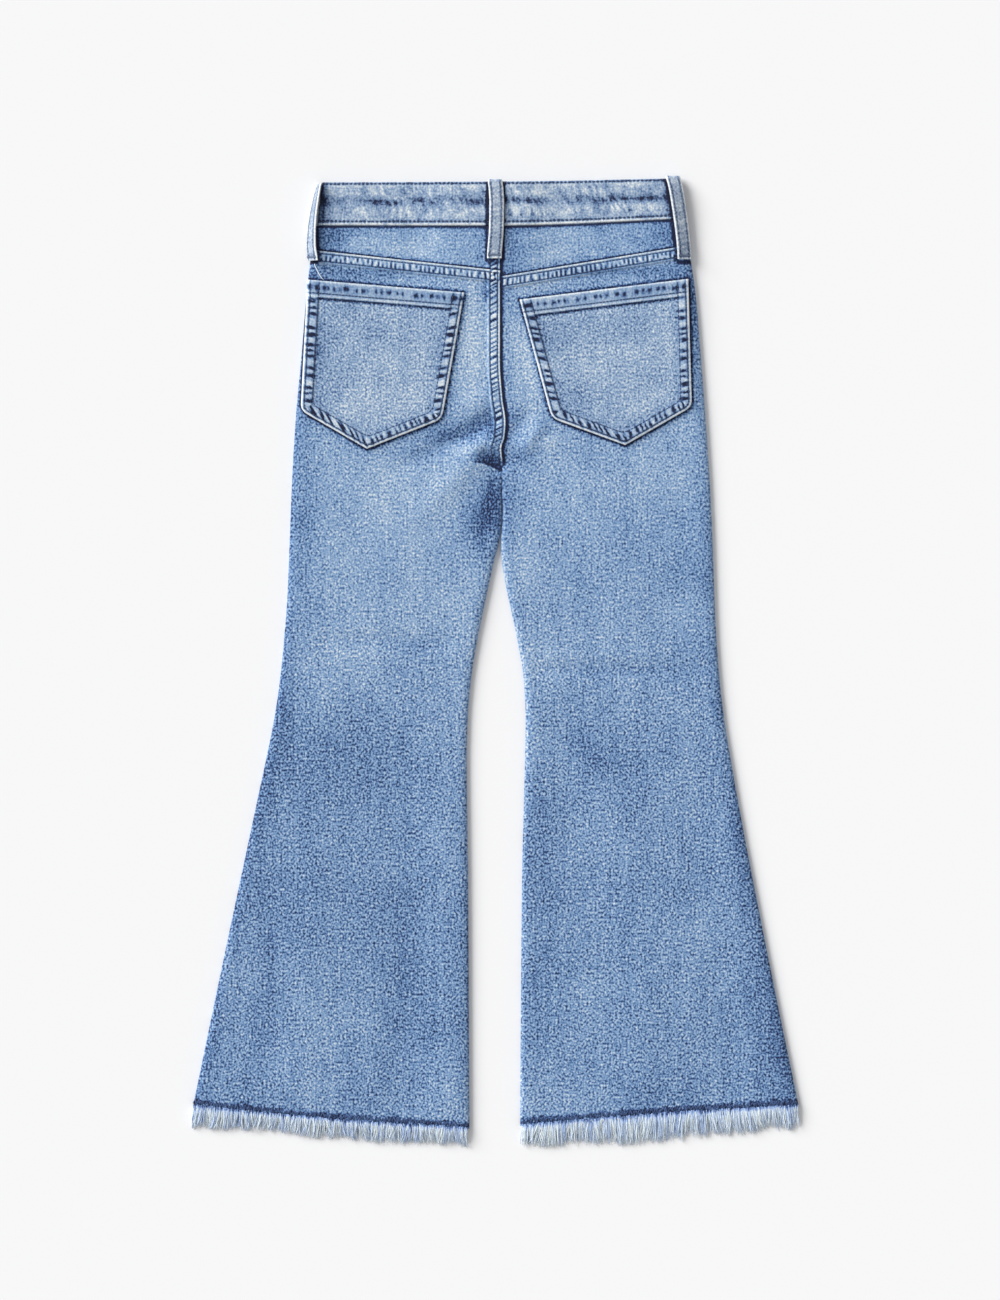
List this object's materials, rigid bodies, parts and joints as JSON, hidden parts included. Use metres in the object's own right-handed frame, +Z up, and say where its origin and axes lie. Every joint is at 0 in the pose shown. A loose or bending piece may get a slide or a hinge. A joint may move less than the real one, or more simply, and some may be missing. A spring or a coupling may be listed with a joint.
{
  "type": "flared jeans laid flat",
  "caption": "Child's flared jeans in faded blue denim, laid flat with the back uppermost, with patch pockets, yoke, belt loops and raw fringed hems.",
  "frame": {"origin": "on the surface that the jeans lie on, under the middle of their outline", "axes": "+X to the right across the back, +Y towards the waist, +Z up out of the surface"},
  "size_m": [0.454, 0.7258, 0.0113],
  "materials": {
    "denim": "faded mid-blue cotton denim, matt, mottled",
    "worn_denim": "the same denim, paler and more rubbed",
    "fringe": "loose pale blue and white cotton threads",
    "button_metal": "dull antique brass"
  },
  "bodies": {
    "root": {"back_leg_left": "denim", "back_leg_right": "denim", "front_leg_left": "denim", "front_leg_right": "denim", "yoke_left": "denim", "yoke_right": "denim", "back_pocket_left": "worn_denim", "back_pocket_right": "worn_denim", "waistband": "worn_denim", "belt_loop_back": "worn_denim", "belt_loop_side_left": "worn_denim", "belt_loop_side_right": "worn_denim", "belt_loop_front_left": "worn_denim", "belt_loop_front_right": "worn_denim", "fringe_back_left": "fringe", "fringe_back_right": "fringe", "fringe_front_left": "fringe", "fringe_front_right": "fringe", "button": "button_metal"}
  },
  "joints": []
}
